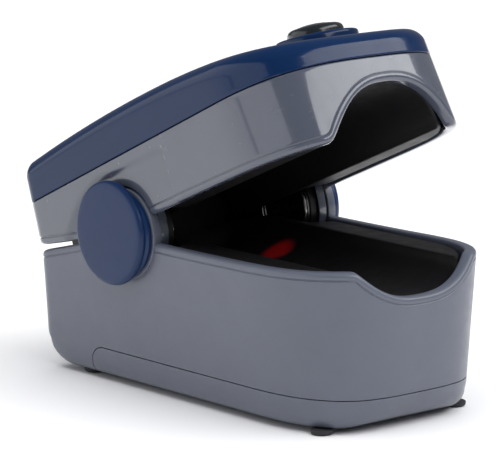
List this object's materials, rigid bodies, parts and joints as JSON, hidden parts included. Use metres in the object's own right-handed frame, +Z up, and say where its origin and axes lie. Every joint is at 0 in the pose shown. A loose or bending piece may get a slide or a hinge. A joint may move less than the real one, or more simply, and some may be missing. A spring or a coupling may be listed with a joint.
{
  "type": "fingertip pulse oximeter",
  "caption": "Spring-loaded clip with two moulded jaws, dark finger pads, a top display window, a push button and a sliding battery cover.",
  "frame": {"origin": "centre of the resting body's box in plan, on the surface the feet stand on", "axes": "+X towards the finger opening, along the body; +Y across the width to the user's left cap; +Z up"},
  "size_m": [0.0608, 0.034, 0.0483],
  "materials": {
    "case_grey": "satin moulded ABS, cool mid grey",
    "case_grey_gloss": "gloss moulded ABS, cool mid grey",
    "cover_blue": "gloss moulded ABS, slate blue",
    "cap_blue": "gloss moulded ABS, deep blue",
    "pad_silicone": "soft matt black silicone",
    "button_black": "satin black",
    "foot_rubber": "dark rubber",
    "inner_plastic": "matt black",
    "steel": "plated steel",
    "spring_steel": "bright nickel-plated spring steel",
    "cell_jacket": null,
    "circuit_board": "green solder mask",
    "flex_film": "amber polyimide",
    "sensor_window": "dark red clear plastic",
    "display_black": "unlit display",
    "display_glass": "smoked clear window"
  },
  "bodies": {
    "base": {"lower_shell": "case_grey", "rear_feet": "foot_rubber", "battery_tray": "inner_plastic", "tray_screws": "steel", "battery_left": "cell_jacket", "battery_right": "cell_jacket", "contact_springs": "spring_steel", "contact_plates": "spring_steel", "lower_finger_pad": "pad_silicone", "detector_window": "sensor_window", "sensor_board": "circuit_board", "hinge_cap_left": "cap_blue", "hinge_cap_right": "cap_blue", "hinge_pin_left": "steel", "hinge_pin_right": "steel", "torsion_spring_left": "spring_steel", "torsion_spring_right": "spring_steel", "flex_cable": "flex_film"},
    "jaw": {"upper_shell": "case_grey_gloss", "top_cover": "cover_blue", "upper_finger_pad": "pad_silicone", "emitter_window": "sensor_window", "emitter_board": "circuit_board", "main_board": "circuit_board", "display_module": "display_black", "display_window": "display_glass", "tact_switch": "steel", "jaw_screws": "steel"},
    "button": {"power_button": "button_black"},
    "battery_door": {"battery_cover": "case_grey", "front_feet": "foot_rubber"}
  },
  "joints": [
    {"name": "jaw_hinge", "type": "hinge", "parent": "base", "child": "jaw", "pos_m": [-0.00843, 0, 0.0205], "axis": [0, -1, 0], "range_deg": [-24.5, 0.8], "stiffness_Nm_per_rad": 0.12, "springref_deg": -35.52, "deforming": ["torsion_spring_left", "torsion_spring_right", "flex_cable"]},
    {"name": "button_press", "type": "slide", "parent": "jaw", "child": "button", "axis": [0.3027, 0, -0.9531], "range_m": [0, 0.0005], "stiffness_N_per_m": 2000, "springref_m": -0.0008},
    {"name": "battery_door_slide", "type": "slide", "parent": "base", "child": "battery_door", "axis": [1, 0, 0], "range_m": [0, 0.05]}
  ]
}
